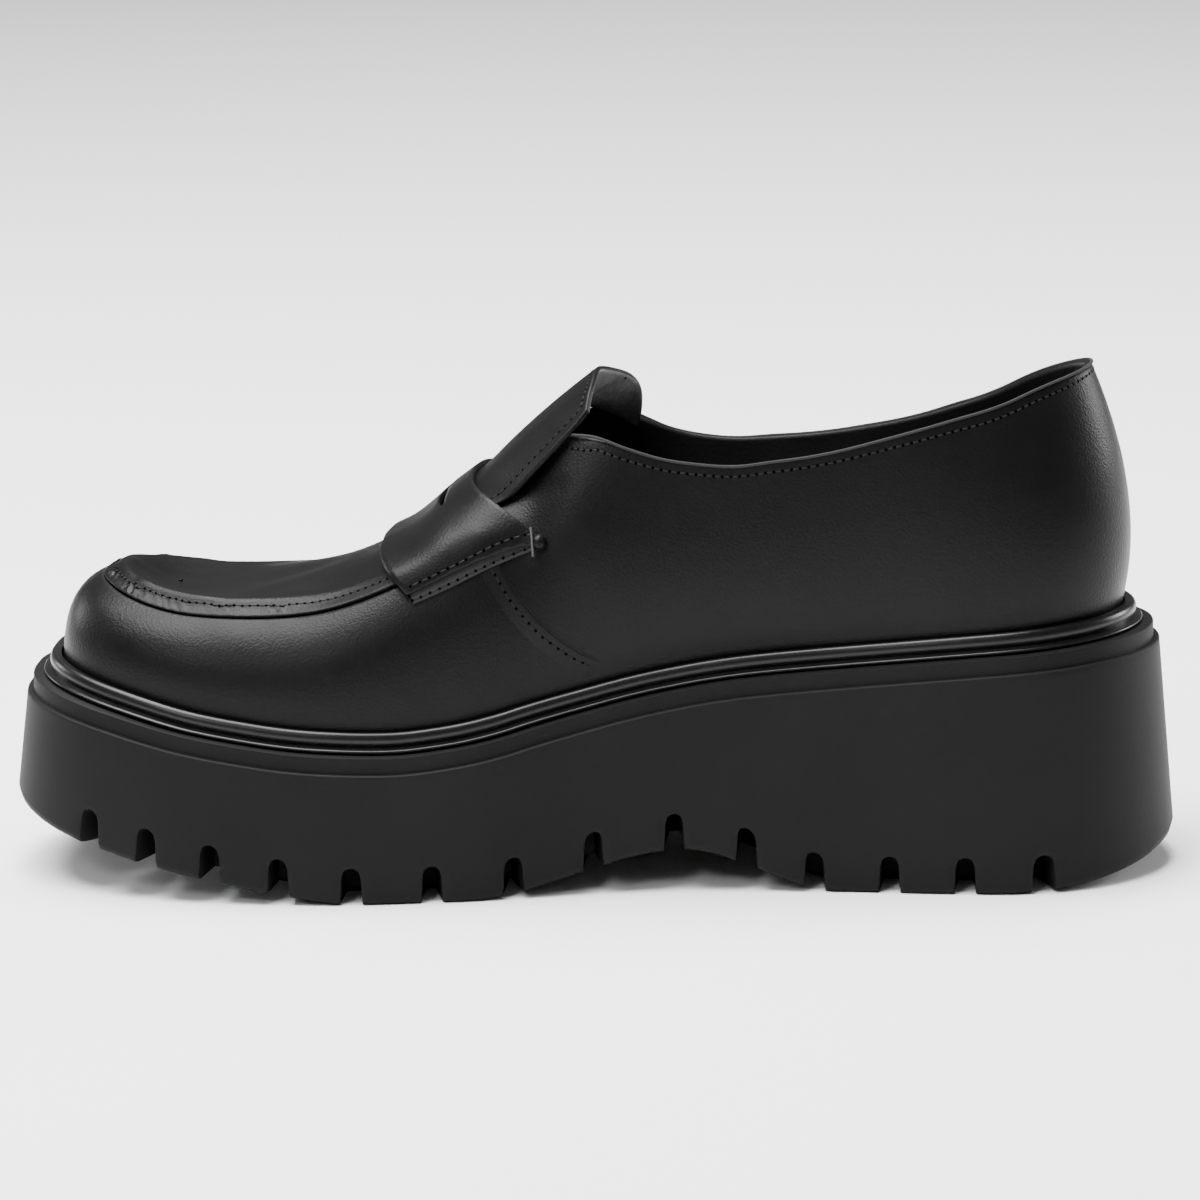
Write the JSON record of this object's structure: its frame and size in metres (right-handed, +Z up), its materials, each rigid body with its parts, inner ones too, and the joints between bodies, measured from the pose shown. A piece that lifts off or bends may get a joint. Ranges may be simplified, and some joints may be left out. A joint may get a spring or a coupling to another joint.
{
  "type": "loafer",
  "caption": "Right-foot penny loafer with a moc-toe leather upper, saddle strap and tongue, on a chunky platform lug sole.",
  "frame": {"origin": "on the floor, under the middle of the sole's outline", "axes": "-X to the toe, +X to the heel, -Y to the inner (medial) side of this right shoe, +Z up"},
  "size_m": [0.2852, 0.1088, 0.1232],
  "materials": {
    "sole_rubber": "matte",
    "welt_rubber": "glossy",
    "lining_leather": "matte",
    "upper_leather": "semi-matte, fine grain"
  },
  "bodies": {
    "root": {"lug_sole": "sole_rubber", "welt": "welt_rubber", "insole": "lining_leather", "upper": "upper_leather", "apron": "upper_leather", "tongue": "upper_leather", "strap": "upper_leather"}
  },
  "joints": []
}
